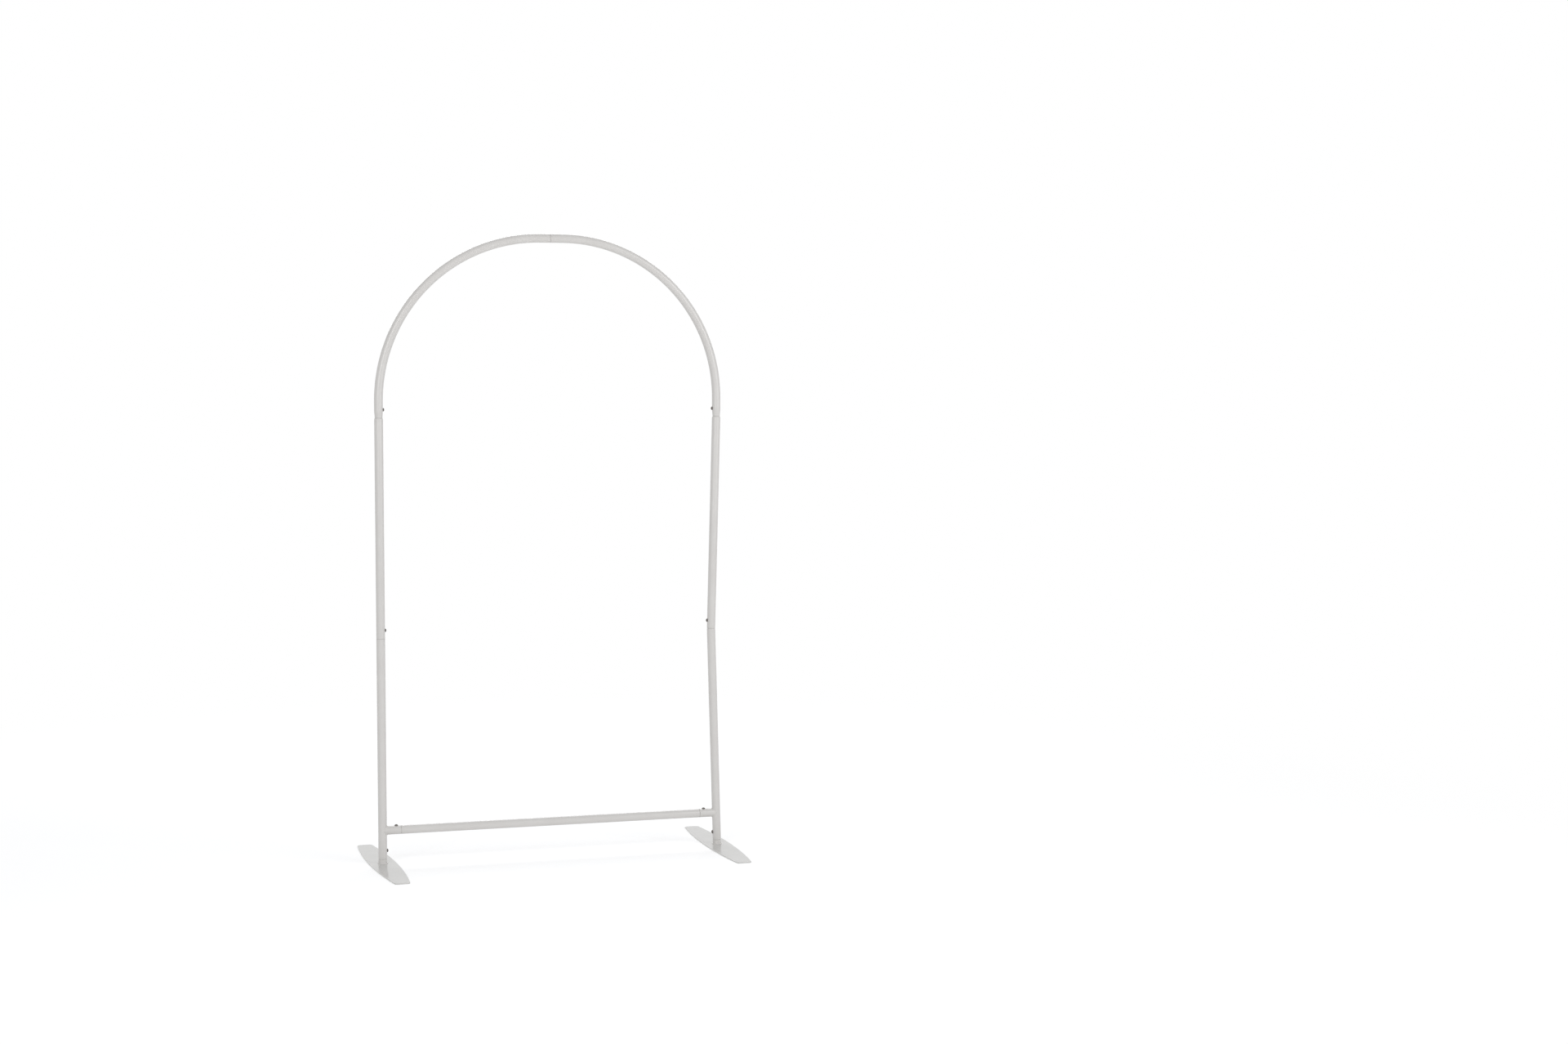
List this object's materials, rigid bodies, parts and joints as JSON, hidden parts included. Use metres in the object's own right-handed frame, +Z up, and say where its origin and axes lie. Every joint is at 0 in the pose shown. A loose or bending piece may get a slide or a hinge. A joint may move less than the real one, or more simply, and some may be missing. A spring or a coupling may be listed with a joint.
{
  "type": "free-standing metal arch frame",
  "caption": "Free-standing arch frame of round white-coated steel tube in sleeved sections, with a low crossbar and flat spindle-shaped foot plates.",
  "frame": {"origin": "on the floor, midway between the two legs, at the middle of the foot plates", "axes": "+X along the crossbar to the right leg, +Y to the back along the foot plates, +Z up"},
  "size_m": [1.0796, 0.6004, 1.8125],
  "materials": {
    "tube_coat": "white gloss powder coat on steel tube",
    "plate_coat": "white high-gloss powder coat on steel plate",
    "screw_zinc": "dark zinc plated button-head screws"
  },
  "bodies": {
    "root": {"foot_plate_left": "plate_coat", "foot_plate_right": "plate_coat", "foot_stub_left": "tube_coat", "foot_stub_right": "tube_coat", "lower_post_left": "tube_coat", "lower_post_right": "tube_coat", "bar_stub_left": "tube_coat", "bar_stub_right": "tube_coat", "upper_post_left": "tube_coat", "upper_post_right": "tube_coat", "arc_left": "tube_coat", "arc_right": "tube_coat", "crossbar": "tube_coat"}
  },
  "joints": []
}
